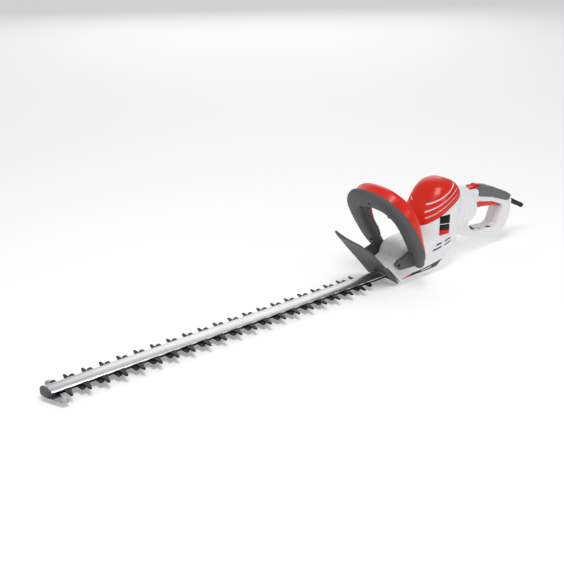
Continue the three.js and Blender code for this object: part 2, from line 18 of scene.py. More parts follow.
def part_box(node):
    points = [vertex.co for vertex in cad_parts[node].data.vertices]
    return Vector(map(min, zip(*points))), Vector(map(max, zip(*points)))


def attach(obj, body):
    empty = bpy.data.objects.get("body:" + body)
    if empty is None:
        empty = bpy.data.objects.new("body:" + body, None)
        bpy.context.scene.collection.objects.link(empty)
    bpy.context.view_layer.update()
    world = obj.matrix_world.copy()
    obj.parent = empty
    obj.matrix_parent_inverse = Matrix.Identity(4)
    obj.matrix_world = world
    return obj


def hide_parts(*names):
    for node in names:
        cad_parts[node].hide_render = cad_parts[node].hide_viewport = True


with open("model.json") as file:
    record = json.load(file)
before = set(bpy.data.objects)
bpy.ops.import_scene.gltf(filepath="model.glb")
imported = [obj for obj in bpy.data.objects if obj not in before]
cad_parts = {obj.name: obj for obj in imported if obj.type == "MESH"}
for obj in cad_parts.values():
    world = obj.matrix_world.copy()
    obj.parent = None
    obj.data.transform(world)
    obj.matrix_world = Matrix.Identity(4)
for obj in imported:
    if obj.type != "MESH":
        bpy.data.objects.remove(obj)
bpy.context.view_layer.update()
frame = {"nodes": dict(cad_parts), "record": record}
nodes = frame["nodes"]
MM = 0.001

# %% [markdown]
# ## Camera, floor and light
# The camera stands in front of the blade, to its left and a little above, and looks back at the motor. A long lens
# keeps the handles from looking small beside the blade. Three large soft lamps and a pale world give the even
# light of a product shot: the lamps are large so that the gloss on the red cap is a broad patch, not a spot. The
# floor glows slightly, so that it reads as white paper, and the world is brighter to the camera than to the parts.

# %% Camera
camera_data = bpy.data.cameras.new("camera")
camera_data.lens = 65.23
camera_data.sensor_width = 36.0
camera_data.clip_start = 0.05
camera = bpy.data.objects.new("camera", camera_data)
bpy.context.scene.collection.objects.link(camera)
camera.location = (1.3453, 1.2576, 0.7681)
looking = Vector((-0.5906, -0.7043, -0.3939))
camera.rotation_euler = looking.to_track_quat("-Z", "Y").to_euler()
bpy.context.scene.camera = camera
bpy.context.scene.view_settings.view_transform = "Standard"
print("camera looks along", tuple(round(v, 3) for v in looking))

# %% Floor
HALF_FLOOR = 60
floor_mesh = bpy.data.meshes.new("studio_floor")
corners = [(-1, -1), (1, -1), (1, 1), (-1, 1)]
floor_mesh.from_pydata([(a * HALF_FLOOR, b * HALF_FLOOR, 0) for a, b in corners], [], [(0, 1, 2, 3)])
floor = bpy.data.objects.new("studio_floor", floor_mesh)
bpy.context.scene.collection.objects.link(floor)
floor.location = (0, 0, -0.0004)
floor_material = bpy.data.materials.new("studio_floor")
floor_material.use_nodes = True
floor_shader = floor_material.node_tree.nodes["Principled BSDF"]
floor_shader.inputs["Base Color"].default_value = (0.93, 0.93, 0.93, 1)
floor_shader.inputs["Roughness"].default_value = 0.9
floor_shader.inputs["Emission Color"].default_value = (1, 1, 1, 1)
floor_shader.inputs["Emission Strength"].default_value = 0.22
floor_mesh.materials.append(floor_material)
print("floor ready")


# %% Lights
def soft_lamp(name, place, power, size):
    lamp = bpy.data.lights.new(name, "AREA")
    lamp.energy, lamp.shape, lamp.size = power, "SQUARE", size
    holder = bpy.data.objects.new(name, lamp)
    holder.location = place
    aim = Vector((0.05, 0, 0.08)) - Vector(place)
    holder.rotation_euler = aim.to_track_quat("-Z", "Y").to_euler()
    bpy.context.scene.collection.objects.link(holder)


soft_lamp("key_lamp", (0.7, 0.5, 2.0), 20, 0.9)
soft_lamp("side_lamp", (-0.2, 2.2, 0.9), 5, 0.8)
soft_lamp("back_lamp", (-1.5, -2.3, 1.5), 15, 2.4)
world = bpy.data.worlds.new("studio_world")
bpy.context.scene.world = world
world.use_nodes = True
sky = world.node_tree.nodes["Background"]
sky.inputs["Color"].default_value = (1, 1, 1, 1)
rays = world.node_tree.nodes.new("ShaderNodeLightPath")
level = world.node_tree.nodes.new("ShaderNodeMapRange")
world.node_tree.links.new(rays.outputs["Is Camera Ray"], level.inputs["Value"])
level.inputs["To Min"].default_value = 0.42
level.inputs["To Max"].default_value = 0.9
world.node_tree.links.new(level.outputs["Result"], sky.inputs["Strength"])
print("lights ready")

# %% [markdown]
# ## Node helpers
# Each material is a small tree of nodes. These helpers add a node, join it and do arithmetic, so that the
# materials further on read like a list of what the finish does.


# %% Node helpers
class Tree:
    """A node tree and short ways to add to it."""

    def __init__(self, tree):
        self.tree = tree

    def add(self, kind, **settings):
        node = self.tree.nodes.new(kind)
        for name, value in settings.items():
            setattr(node, name, value)
        return node

    def join(self, source, target):
        if hasattr(source, "is_output"):
            self.tree.links.new(source, target)
        else:
            target.default_value = source

    def math(self, operation, first, second=0.0, clamp=False):
        node = self.add("ShaderNodeMath", operation=operation, use_clamp=clamp)
        self.join(first, node.inputs[0])
        self.join(second, node.inputs[1])
        return node.outputs[0]

    def blend(self, amount, first, second):
        node = self.add("ShaderNodeMix", data_type="RGBA")
        self.join(amount, node.inputs["Factor"])
        self.join(first, node.inputs[6])
        self.join(second, node.inputs[7])
        return node.outputs[2]

    def remap(self, value, low, high, to_low, to_high):
        node = self.add("ShaderNodeMapRange")
        for source, socket in zip((value, low, high, to_low, to_high), node.inputs):
            self.join(source, socket)
        return node.outputs[0]

    def noise(self, vector, scale, detail=2.0, rough=0.5):
        node = self.add("ShaderNodeTexNoise")
        self.join(vector, node.inputs["Vector"])
        node.inputs["Scale"].default_value = scale
        node.inputs["Detail"].default_value = detail
        node.inputs["Roughness"].default_value = rough
        return node.outputs["Fac"]

    def place(self):
        return self.add("ShaderNodeTexCoord").outputs["Object"]

    def axes(self, vector):
        node = self.add("ShaderNodeSeparateXYZ")
        self.join(vector, node.inputs[0])
        return node.outputs


def new_group(name, inputs, outputs):
    group = bpy.data.node_groups.new(name, "ShaderNodeTree")
    for label, kind, value in inputs:
        socket = group.interface.new_socket(label, in_out="INPUT", socket_type=kind)
        if value is not None:
            socket.default_value = value
    for label, kind in outputs:
        group.interface.new_socket(label, in_out="OUTPUT", socket_type=kind)
    tree = Tree(group)
    return group, tree, tree.add("NodeGroupInput"), tree.add("NodeGroupOutput")


# %% [markdown]
# ## Effects that several finishes share
# Moulded plastic is never perfectly plain. The mould's spark-eroded skin leaves a fine grain, the gloss changes
# slowly over the part, and handling leaves faint dust and rubbed patches. These are groups, built once: the grain
# puts out a height, and the handling group puts out a mask, so every material can use them at its own strength.

# %% Moulded grain group
grain_group, t, gin, gout = new_group(
    "moulded_grain",
    [("Vector", "NodeSocketVector", None), ("Grains per metre", "NodeSocketFloat", 1500.0),
     ("Coarse share", "NodeSocketFloat", 0.3)],
    [("Height", "NodeSocketFloat"), ("Speck", "NodeSocketFloat")])
fine = t.add("ShaderNodeTexNoise")
t.join(gin.outputs["Vector"], fine.inputs["Vector"])
t.join(gin.outputs["Grains per metre"], fine.inputs["Scale"])
fine.inputs["Detail"].default_value = 3.0
coarse_scale = t.math("MULTIPLY", gin.outputs["Grains per metre"], 0.23)
coarse = t.add("ShaderNodeTexVoronoi")
t.join(gin.outputs["Vector"], coarse.inputs["Vector"])
t.join(coarse_scale, coarse.inputs["Scale"])
coarse_part = t.math("MULTIPLY", coarse.outputs["Distance"], gin.outputs["Coarse share"])
t.join(t.math("ADD", fine.outputs["Fac"], coarse_part), gout.inputs["Height"])
t.join(t.remap(fine.outputs["Fac"], 0.3, 0.7, 0.0, 1.0), gout.inputs["Speck"])

# %% Handling group
handling_group, t, gin, gout = new_group(
    "handling_marks",
    [("Vector", "NodeSocketVector", None), ("Patch scale", "NodeSocketFloat", 14.0)],
    [("Mask", "NodeSocketFloat"), ("Dust", "NodeSocketFloat")])
patch = t.add("ShaderNodeTexNoise")
t.join(gin.outputs["Vector"], patch.inputs["Vector"])
t.join(gin.outputs["Patch scale"], patch.inputs["Scale"])
patch.inputs["Detail"].default_value = 6.0
patch.inputs["Roughness"].default_value = 0.6
t.join(t.remap(patch.outputs["Fac"], 0.4, 0.68, 0.0, 1.0), gout.inputs["Mask"])
height = t.axes(gin.outputs["Vector"])[2]
low_down = t.remap(height, 0.05, 0.0, 0.0, 1.0)
t.join(t.math("MULTIPLY", low_down, patch.outputs["Fac"]), gout.inputs["Dust"])
print("groups:", [g.name for g in bpy.data.node_groups])


# %% [markdown]
# ## The finishes
# One function makes every moulded or metal finish from the same parts: a base colour that varies a little, a
# roughness that follows the handling marks, and a fine bump. Colour that is painted on in a pattern, such as the
# stripe on the housing, is added afterwards to the one material that needs it.


# %% Finish builder
finishes = {}


def finish(name, dark, light, rough, grains, depth, coarse=0.3, metal=0.0, coat=0.0, sheen=0.0, dust=0.05,
           shine=0.5):
    material = finishes[name] = bpy.data.materials.new(f"{name}_finish")
    material.use_nodes = True
    tree = Tree(material.node_tree)
    shader = material.node_tree.nodes["Principled BSDF"]
    place = tree.place()
    grain = tree.add("ShaderNodeGroup", node_tree=grain_group, label="grain")
    marks = tree.add("ShaderNodeGroup", node_tree=handling_group, label="marks")
    tree.join(place, grain.inputs["Vector"])
    tree.join(place, marks.inputs["Vector"])
    grain.inputs["Grains per metre"].default_value = grains
    grain.inputs["Coarse share"].default_value = coarse
    tone = tree.math("MULTIPLY_ADD", marks.outputs["Mask"], 0.35)
    tree.join(tree.math("MULTIPLY", grain.outputs["Speck"], 0.65), tone.node.inputs[2])
    colour = tree.blend(tone, (*dark, 1), (*light, 1))
    dusty = tree.math("MULTIPLY", marks.outputs["Dust"], dust)
    colour = tree.blend(dusty, colour, (0.45, 0.42, 0.36, 1))
    tree.join(colour, shader.inputs["Base Color"])
    tree.join(tree.remap(marks.outputs["Mask"], 0.0, 1.0, rough - 0.04, rough + 0.06), shader.inputs["Roughness"])
    bump = tree.add("ShaderNodeBump", label="grain bump")
    bump.inputs["Strength"].default_value = 1.0
    bump.inputs["Distance"].default_value = depth
    tree.join(grain.outputs["Height"], bump.inputs["Height"])
    tree.join(bump.outputs["Normal"], shader.inputs["Normal"])
    shader.inputs["Metallic"].default_value = metal
    shader.inputs["Coat Weight"].default_value = coat
    shader.inputs["Specular IOR Level"].default_value = shine
    shader.inputs["Coat Roughness"].default_value = 0.08
    shader.inputs["Sheen Weight"].default_value = sheen
    return material


def shader_of(material):
    return material.node_tree.nodes["Principled BSDF"]


white_plastic = finish("white_plastic", (0.80, 0.81, 0.83), (0.86, 0.865, 0.88), 0.34, 1700, 0.00004, coarse=0.15)
finish("red_plastic", (0.66, 0.012, 0.003), (0.78, 0.022, 0.005), 0.27, 700, 0.00001, coarse=0.1,
       coat=0.2, shine=0.3)
finish("grey_plastic", (0.075, 0.076, 0.08), (0.108, 0.109, 0.114), 0.55, 1500, 0.00016, coarse=0.6,
       shine=0.35)
finish("soft_grip", (0.09, 0.092, 0.097), (0.15, 0.152, 0.158), 0.68, 1100, 0.00025, coarse=0.9,
       sheen=0.25)
black_plastic = finish("black_plastic", (0.006, 0.006, 0.006), (0.014, 0.014, 0.015), 0.45, 1300, 0.0001, shine=0.3)
print("plastics ready")


# %% [markdown]
# ## Metal finishes
# The blades are hardened steel with a dark oil-blackened skin that is slightly mottled. The bar is bright and
# brushed lengthwise, so its grain is a noise stretched along the blade. Gears, screws and castings are plain
# ground or cast metal and only need grain of the right size.


# %% Metals
finish("blade_steel", (0.004, 0.004, 0.0045), (0.014, 0.014, 0.015), 0.42, 420, 0.00008, coarse=0.5,
       dust=0.05, shine=0.28)
finish("dark_fastener", (0.015, 0.015, 0.015), (0.05, 0.05, 0.05), 0.38, 900, 0.00006, metal=0.8)
finish("fastener_steel", (0.36, 0.37, 0.39), (0.52, 0.53, 0.55), 0.3, 900, 0.00005, metal=1.0)
finish("gear_steel", (0.4, 0.4, 0.42), (0.58, 0.58, 0.6), 0.27, 1100, 0.00004, metal=1.0)
finish("alloy", (0.5, 0.5, 0.51), (0.68, 0.68, 0.7), 0.5, 900, 0.0002, coarse=0.8, metal=1.0)
finish("copper", (0.55, 0.22, 0.09), (0.8, 0.4, 0.2), 0.3, 800, 0.00008, metal=1.0)
finish("core_steel", (0.12, 0.12, 0.13), (0.24, 0.24, 0.26), 0.5, 700, 0.0001, metal=0.8)
finish("nylon", (0.6, 0.56, 0.46), (0.72, 0.68, 0.58), 0.45, 900, 0.00006)


def brushed(name):
    material = finishes[name] = bpy.data.materials.new(f"{name}_finish")
    material.use_nodes = True
    tree = Tree(material.node_tree)
    shader = shader_of(material)
    place = tree.place()
    stretch = tree.add("ShaderNodeMapping")
    tree.join(place, stretch.inputs["Vector"])
    stretch.inputs["Scale"].default_value = (10, 500, 500)
    scratches = tree.noise(stretch.outputs[0], 1.0, 4.0, 0.7)
    marks = tree.add("ShaderNodeGroup", node_tree=handling_group, label="marks")
    tree.join(place, marks.inputs["Vector"])
    marks.inputs["Patch scale"].default_value = 22.0
    colour = tree.blend(scratches, (0.74, 0.75, 0.77, 1), (0.86, 0.87, 0.89, 1))
    colour = tree.blend(tree.math("MULTIPLY", marks.outputs["Mask"], 0.15), colour, (0.55, 0.55, 0.56, 1))
    tree.join(colour, shader.inputs["Base Color"])
    tree.join(tree.remap(scratches, 0.3, 0.7, 0.30, 0.38), shader.inputs["Roughness"])
    bump = tree.add("ShaderNodeBump")
    bump.inputs["Distance"].default_value = 0.00001
    tree.join(scratches, bump.inputs["Height"])
    tree.join(bump.outputs["Normal"], shader.inputs["Normal"])
    shader.inputs["Metallic"].default_value = 1.0
    return material


brushed("bar_steel")
print("finishes:", sorted(finishes))

# %% [markdown]
# ## The printed stripe and the parting seam
# The housing carries a pointed stripe along its foot, red at the front and black behind, with a pale bar set in
# the black. It is printed flat on the plastic, so it belongs in the material: straight lines in the housing's own
# coordinates bound it. The two half shells meet on the middle plane, and the seam there is a fine dark groove.

# %% Housing finish
tree = Tree(white_plastic.node_tree)
shader = shader_of(white_plastic)
plain = shader.inputs["Base Color"].links[0].from_socket
x, y, z = tree.axes(tree.place())
TIP_X, REAR_X, RAKE = 0.033, -0.0640, 0.9
TOP_EDGE, BOTTOM_EDGE = (0.0128, 0.146), (0.0122, 0.030)
FLANK_Y, SEAM_HALF = 0.030, 0.00028
behind_tip = tree.math("SUBTRACT", TIP_X, x)
upper, lower = (tree.math("ADD", level, tree.math("MULTIPLY", behind_tip, slope))
                for level, slope in (TOP_EDGE, BOTTOM_EDGE))
rear = tree.math("SUBTRACT", REAR_X, tree.math("MULTIPLY", tree.math("SUBTRACT", z, 0.015), RAKE))
share = tree.math("DIVIDE", tree.math("SUBTRACT", z, lower), tree.math("SUBTRACT", upper, lower))


def both(*masks):
    result = masks[0]
    for mask in masks[1:]:
        result = tree.math("MULTIPLY", result, mask)
    return result


def between(value, low, high):
    return both(tree.math("GREATER_THAN", value, low), tree.math("LESS_THAN", value, high))


outside = tree.math("GREATER_THAN", tree.math("ABSOLUTE", y), FLANK_Y)
stripe = both(between(share, 0.0, 1.0), between(x, rear, TIP_X - 0.0002), outside)
slanted = tree.math("ADD", x, tree.math("MULTIPLY", z, RAKE))
black_part = tree.math("LESS_THAN", slanted, 0.0185)
inset = both(between(share, 0.34, 0.66), between(slanted, -0.029, -0.004))
printed = tree.blend(black_part, (0.66, 0.012, 0.004, 1), (0.003, 0.003, 0.003, 1))
printed = tree.blend(inset, printed, (0.62, 0.63, 0.64, 1))
colour = tree.blend(stripe, plain, printed)
seam = tree.math("LESS_THAN", tree.math("ABSOLUTE", y), SEAM_HALF)
colour = tree.blend(tree.math("MULTIPLY", seam, 0.75), colour, (0.2, 0.2, 0.21, 1))
tree.join(colour, shader.inputs["Base Color"])
print("housing stripe printed")

# %% Badge finish
badge_finish = finish("badge", (0.004, 0.004, 0.004), (0.007, 0.007, 0.007), 0.3, 600, 0.00001, shine=0.15)
tree = Tree(badge_finish.node_tree)
shader = shader_of(badge_finish)
plain = shader.inputs["Base Color"].links[0].from_socket
x, y, z = tree.axes(tree.place())
level = tree.math("SUBTRACT", z, tree.math("MULTIPLY", tree.math("ADD", x, 0.08), 0.12))
red_part = tree.math("LESS_THAN", level, 0.0868)
white_line = between(level, 0.0985, 0.0998)
colour = tree.blend(red_part, plain, (0.70, 0.014, 0.004, 1))
colour = tree.blend(white_line, colour, (0.8, 0.8, 0.8, 1))
tree.join(colour, shader.inputs["Base Color"])
print("badge bands ready")

# %% [markdown]
# ## Mesh helpers
# Two ways make almost every piece. A loft skins a row of rings, which suits the housing, the cap and the looped
# handle. A flat part from the frame is copied, and a bevel grinds its edges. Where moulded volumes meet, a voxel
# remesh melts them into one skin and a few rounds of smoothing leave the small fillets that a mould has.


# %% Mesh helpers
def new_piece(name, vertices, faces):
    mesh = bpy.data.meshes.new(name)
    mesh.from_pydata([tuple(v) for v in vertices], [], faces)
    piece = bpy.data.objects.new(name, mesh)
    bpy.context.scene.collection.objects.link(piece)
    return piece


def loft(name, rings):
    count = len(rings[0])
    vertices = [Vector(p) * MM for ring in rings for p in ring]
    faces = [
        (i * count + j, i * count + (j + 1) % count, (i + 1) * count + (j + 1) % count, (i + 1) * count + j)
        for i in range(len(rings) - 1) for j in range(count)]
    faces += [tuple(reversed(range(count))), tuple(range((len(rings) - 1) * count, len(rings) * count))]
    piece = new_piece(name, vertices, faces)
    face_outward(piece)
    return piece


def face_outward(piece):
    work = bmesh.new()
    work.from_mesh(piece.data)
    bmesh.ops.recalc_face_normals(work, faces=work.faces)
    if work.calc_volume(signed=True) < 0:
        bmesh.ops.reverse_faces(work, faces=work.faces)
    work.to_mesh(piece.data)
    work.free()


def apply(piece, kind, **settings):
    """Adds a modifier and bakes its result into the mesh."""
    modifier = piece.modifiers.new(kind.lower(), kind)
    for name, value in settings.items():
        setattr(modifier, name, value)
    bpy.context.view_layer.update()
    done = bpy.data.meshes.new_from_object(piece.evaluated_get(bpy.context.evaluated_depsgraph_get()))
    old = piece.data
    piece.modifiers.clear()
    piece.data = done
    done.name = piece.name
    bpy.data.meshes.remove(old)
    return piece


def melt(piece, voxel, rounds):
    """Joins crossing volumes into one skin, with a voxel in millimetres, and rounds its corners."""
    apply(piece, "REMESH", mode="VOXEL", voxel_size=voxel * MM, use_smooth_shade=True)
    return apply(piece, "SMOOTH", factor=0.5, iterations=rounds)


def discard(piece):
    mesh = piece.data
    bpy.data.objects.remove(piece)
    bpy.data.meshes.remove(mesh)


def piece_from(name, work):
    mesh = bpy.data.meshes.new(name)
    work.to_mesh(mesh)
    work.free()
    piece = bpy.data.objects.new(name, mesh)
    bpy.context.scene.collection.objects.link(piece)
    return piece


def merged(name, pieces):
    work = bmesh.new()
    for piece in pieces:
        work.from_mesh(piece.data)
        discard(piece)
    return piece_from(name, work)


def carve(piece, cutter, operation="DIFFERENCE"):
    apply(piece, "BOOLEAN", object=cutter, operation=operation, solver="EXACT")
    discard(cutter)
    return piece


def prism(name, outline, low, high):
    """A slab whose X-Z outline is in millimetres, between two places across."""
    count = len(outline)
    points = [(x, low, z) for x, z in outline] + [(x, high, z) for x, z in outline]
    faces = [tuple(range(count)), tuple(reversed(range(count, 2 * count)))]
    faces += [(j, count + j, count + (j + 1) % count, (j + 1) % count) for j in range(count)]
    piece = new_piece(name, [Vector(p) * MM for p in points], faces)
    face_outward(piece)
    return piece


def copy_of(name, *cad_names):
    work = bmesh.new()
    for cad_name in cad_names:
        work.from_mesh(nodes[cad_name].data)
    bmesh.ops.remove_doubles(work, verts=work.verts, dist=1e-6)
    return piece_from(name, work)


def circle(sides):
    return np.linspace(0, 2 * math.pi, sides, endpoint=False)


def superpoint(turn, power):
    """The point at a turn on a rounded square: power 2 is a circle, larger powers are squarer."""
    return tuple(math.copysign(abs(v) ** (2 / power), v) for v in (math.cos(turn), math.sin(turn)))


def dress(piece, slot_name, body, *replaced, material=None, smooth=40):
    """Gives a piece its finish, its body and the CAD nodes it stands for; edges sharper than smooth degrees stay."""
    piece.data.materials.clear()
    piece.data.materials.append(material or finishes[slot_name])
    piece.data.shade_smooth()
    piece.data.set_sharp_from_angle(angle=math.radians(smooth))
    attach(piece, body)
    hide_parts(*replaced)
    print(piece.name, "faces:", len(piece.data.polygons))
    return piece


# %% [markdown]
# ## The smooth curves through the stations
# The housing is known at a handful of heights. Drawing a smooth curve through those numbers gives as many
# rings as the skin needs, with no visible steps. The curve is the cubic that passes through every station.


# %% Curve through stations
def smooth_rows(rows, steps):
    rows = np.array(rows, float)
    padded = np.vstack([2 * rows[0] - rows[1], rows, 2 * rows[-1] - rows[-2]])
    result = []
    for k in range(len(rows) - 1):
        a, b, c, d = padded[k:k + 4]
        for s in np.linspace(0, 1, steps, endpoint=False):
            result.append(0.5 * (2 * b + (c - a) * s + (2 * a - 5 * b + 4 * c - d) * s ** 2
                                 + (3 * b - a - 3 * c + d) * s ** 3))
    return np.array(result + [rows[-1]])


BODY_STATIONS = [
    (2.3, -74, 27, 38), (9, -88, 32, 42), (22, -110, 36, 45.5), (41, -131, 24, 47), (52, -135, 2, 46.5),
    (64, -137, -20, 46), (76, -137, -30, 45.5), (98, -137, -30, 45), (118, -137, -36, 45), (136, -137, -48, 44.5),
    (150, -136, -58, 42.5), (160, -133, -66, 38.5), (168, -127, -74, 32), (174, -118, -83, 22), (177, -106, -92, 10)]
FRONT_POWER, REAR_POWER, HUMP_POWER = 2.3, 3.4, 2.6
BODY_SIDES, HUMP_SIDES, NECK_SIDES, NECK_STEPS = 96, 64, 72, 90
STEPS_BETWEEN = 5


def body_ring(z, rear, front, width, grow):
    ring = []
    for turn in circle(BODY_SIDES):
        along, across = superpoint(turn, FRONT_POWER if math.cos(turn) > 0 else REAR_POWER)
        ring.append(((rear + front) / 2 + along * ((front - rear) / 2 + grow), across * (width + grow), z))
    return ring


def body_volume(name, grow):
    rows = smooth_rows(BODY_STATIONS, STEPS_BETWEEN)
    rings = []
    for k, (z, rear, front, width) in enumerate(rows):
        shift = -grow if k == 0 else (grow if k == len(rows) - 1 else 0)
        rings.append(body_ring(z + shift, rear, front, width, grow))
    return loft(name, rings)


HUMP_ROWS = [(-70, 79, 38), (-20, 79, 38), (3, 77.5, 37), (14, 72.5, 34.5), (20.5, 66, 31), (23.5, 56, 26)]
HUMP_MIDDLE, HUMP_UNDER = 40, 20
NOSE_ROWS = [(-30, 46, 0), (8, 46, 0), (27, 44.5, 6), (35, 40.5, 11), (54, 36, 24)]
NOSE_HEIGHT = 33
NECK_Z, NECK_RADIUS, NECK_START, NECK_END = 105, 36.5, -100, -145.7
GROOVES, GROOVE_HALF, GROOVE_DEPTH = (-121, -131), 1.1, 1.0


def hump_volume(name):
    rings = []
    for x, top, width in smooth_rows(HUMP_ROWS, STEPS_BETWEEN):
        points = [superpoint(turn, HUMP_POWER) for turn in circle(HUMP_SIDES)]
        rings.append([(x, across * width, HUMP_MIDDLE + up * (top - HUMP_MIDDLE if up > 0 else HUMP_UNDER))
                      for across, up in points])
    return loft(name, rings)


def nose_volume(name):
    rings = []
    for x, top, lean in NOSE_ROWS:
        half = [(42, 3.2), (44, 9), (31, top - 3), (27, top)]
        section = [(-y, z) for y, z in half] + half[::-1]
        rings.append([(x - lean * (top - z) / NOSE_HEIGHT, y, z) for y, z in section])
    return loft(name, rings)


def neck_volume(name, radius=NECK_RADIUS, end=NECK_END):
    rings = []
    for x in np.linspace(NECK_START, end, NECK_STEPS):
        dip = max(GROOVE_DEPTH * max(0.0, 1 - ((x - at) / GROOVE_HALF) ** 2) for at in GROOVES)
        rings.append([(x, (radius - dip) * math.cos(a), NECK_Z + (radius - dip) * math.sin(a))
                      for a in circle(NECK_SIDES)])
    return loft(name, rings)


print("stations:", len(BODY_STATIONS))

# %% [markdown]
# ## The white housing
# The column, the hump in front of it, the flat nose over the blade and the round neck are one pair of mouldings.
# They are lofted as separate volumes, melted together, and then cut: along the slanted line where the red cap
# begins, at the mouth for the blades, at the seats for the handle's legs, and at the cooling slots in its flanks.
# Only the column is hollow. A black sheet inside its wall is painted shade: it makes the slots dark, whatever is
# behind them.

# %% Housing skin
housing = merged("housing", [body_volume("column", 0), hump_volume("hump"), nose_volume("nose"), neck_volume("neck")])
melt(housing, 1.5, 5)
CAP_FRONT = (-20, 92)
CAP_SLOPE = -52 / 105


def cap_line(x, lift=0.0):
    """The height of the slanted line under the cap at a place along the body."""
    return CAP_FRONT[1] + CAP_SLOPE * (x - CAP_FRONT[0]) + lift


def cut_plane(piece, lift, keep_above):
    """Cuts a piece along the cap line and closes the cut."""
    work = bmesh.new()
    work.from_mesh(piece.data)
    normal = Vector((-CAP_SLOPE, 0, 1)).normalized()
    cut = bmesh.ops.bisect_plane(
        work, geom=work.verts[:] + work.edges[:] + work.faces[:], dist=1e-7,
        plane_co=Vector((CAP_FRONT[0], 0, CAP_FRONT[1] + lift)) * MM, plane_no=normal,
        clear_inner=keep_above, clear_outer=not keep_above)
    edges = [e for e in cut["geom_cut"] if isinstance(e, bmesh.types.BMEdge)]
    bmesh.ops.holes_fill(work, edges=edges)
    work.to_mesh(piece.data)
    work.free()
    return piece


RIM_GAP = 0.4
LEG_SEAT = [(64, 30.5), (-12, 30.5), (-17, 38), (-17, 96), (64, 96)]
SEAT_FLOOR, BEYOND = 38.4, 80
BLADE_MOUTH = [(18, 8), (80, 8), (80, 19), (18, 19)]
MOUTH_HALF = 24
cut_plane(housing, -RIM_GAP, keep_above=False)
carve(housing, neck_volume("neck_top"), "UNION")
for side in (1, -1):
    carve(housing, prism("leg_seat", LEG_SEAT, *sorted((side * SEAT_FLOOR, side * BEYOND))))
carve(housing, prism("blade_mouth", BLADE_MOUTH, -MOUTH_HALF, MOUTH_HALF))
print("housing faces:", len(housing.data.polygons))

# %% Cooling slots
SLOTS = [(-47, 48.5, -74, 52.5), (-79, 53, -100, 58.5), (-57, 57.5, -75, 60), (-79, 60.8, -100, 65)]
SLOT_HEIGHT, SLOT_SLANT = 4.4, 2
FLANK = (30, 60)
WALL = 2.8
for side in (1, -1):
    across = sorted(side * y for y in FLANK)
    for front, z_front, rear, z_rear in SLOTS:
        outline = [(front, z_front), (front - SLOT_SLANT, z_front + SLOT_HEIGHT),
                   (rear, z_rear + SLOT_HEIGHT), (rear + SLOT_SLANT, z_rear)]
        carve(housing, prism("slot", outline, *across))
hollow = cut_plane(body_volume("column_inside", -WALL), -RIM_GAP - WALL, keep_above=False)
carve(housing, hollow)
dress(housing, "white_plastic", "body", "housing_left", "housing_right")

# %% Black sheet behind the slots, painted shade
# Painted shade: this black sheet just inside the wall stands in for the shadow seen through the cooling slots.
SHADE_LINER_THICKNESS, SHADE_LINER_GAP, SHADE_LINER_FOOT = 0.6, 0.15, 50
SHADE_LINER_TOP = -4
shade_liner = cut_plane(body_volume("slot_shade_liner", -WALL - SHADE_LINER_GAP), SHADE_LINER_TOP, keep_above=False)
work = bmesh.new()
work.from_mesh(shade_liner.data)
lid = max(work.faces, key=lambda face: face.calc_area())
bmesh.ops.delete(work, geom=[lid], context="FACES_ONLY")
low_part = [v for v in work.verts if v.co.z < SHADE_LINER_FOOT * MM]
bmesh.ops.delete(work, geom=low_part, context="VERTS")
work.to_mesh(shade_liner.data)
work.free()
apply(shade_liner, "SOLIDIFY", thickness=SHADE_LINER_THICKNESS * MM, offset=-1)
shade_liner.data.materials.append(black_plastic)
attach(shade_liner, "body")
print("liner faces:", len(shade_liner.data.polygons))

# %% [markdown]
# ## The red motor cap
# The cap is the top of the same column in glossy red. It sits a hair proud of the white, and three long louvres run
# along each flank, in line with its rim. The louvres are slabs with nipped corners that cut through the red, and a
# white lining set into the cap's wall shows in them.

# %% Cap
CAP_PROUD, CAP_WALL, LINING_DEPTH, LINING_FOOT = 0.35, 2.6, 1.4, 5
NECK_ROOM, NECK_ROOM_END = 0.5, -160
LOUVRE_LIFTS = (9, 18.5, 28)
LOUVRE_HEIGHT, LOUVRE_NIP, LOUVRE_FRONT, LOUVRE_REAR = 3.7, 1.8, -33, -128
SHORTER_BY, DEEPER_BY = 0.4, 0.45    # for each millimetre further up the cap
cap = body_volume("motor_cap_skin", CAP_PROUD)
melt(cap, 1.3, 6)
cut_plane(cap, RIM_GAP, keep_above=True)


def louvre_outline(lift):
    """One louvre: the higher it is on the cap, the shorter at the back."""
    rear = LOUVRE_REAR + lift * SHORTER_BY
    tips = (1.7, 2.0)
    ends = [(LOUVRE_FRONT, 0)] + [(LOUVRE_FRONT + LOUVRE_NIP, dz) for dz in tips]
    ends += [(LOUVRE_FRONT, LOUVRE_HEIGHT), (rear, LOUVRE_HEIGHT)]
    ends += [(rear - LOUVRE_NIP, dz) for dz in reversed(tips)] + [(rear, 0)]
    return [(along, cap_line(along, lift) + dz) for along, dz in ends]


for side in (1, -1):
    for lift in LOUVRE_LIFTS:
        across = sorted((side * (FLANK[0] - lift * DEEPER_BY), side * FLANK[1]))
        louvre = prism("louvre", louvre_outline(lift), *across)
        carve(louvre, body_volume("louvre_core", -CAP_WALL))
        carve(cap, louvre)
carve(cap, neck_volume("neck_room", NECK_RADIUS + NECK_ROOM, NECK_ROOM_END))
carve(cap, body_volume("cap_inside", -CAP_WALL))
dress(cap, "red_plastic", "body", "motor_cap")
lining = cut_plane(body_volume("cap_lining", -LINING_DEPTH), LINING_FOOT, keep_above=True)
carve(lining, body_volume("lining_inside", -CAP_WALL))
dress(lining, "white_plastic", "body")

# %% Badge
badge = copy_of("badge", "badge_plate")
apply(badge, "BEVEL", width=0.5 * MM, segments=2, limit_method="ANGLE", angle_limit=math.radians(40))
dress(badge, "black_plastic", "body", "badge_plate", material=badge_finish, smooth=50)

# %% [markdown]
# ## The looped front handle
# The grey loop and the red switch lever behind it follow one curve that leans forward. Each has its own section,
# which is swept along the curve: a broad rounded face in front for the palm, and a thinner red shell behind that
# rocks when it is squeezed. The melted skin takes the corners off both sections, as a hand would want.

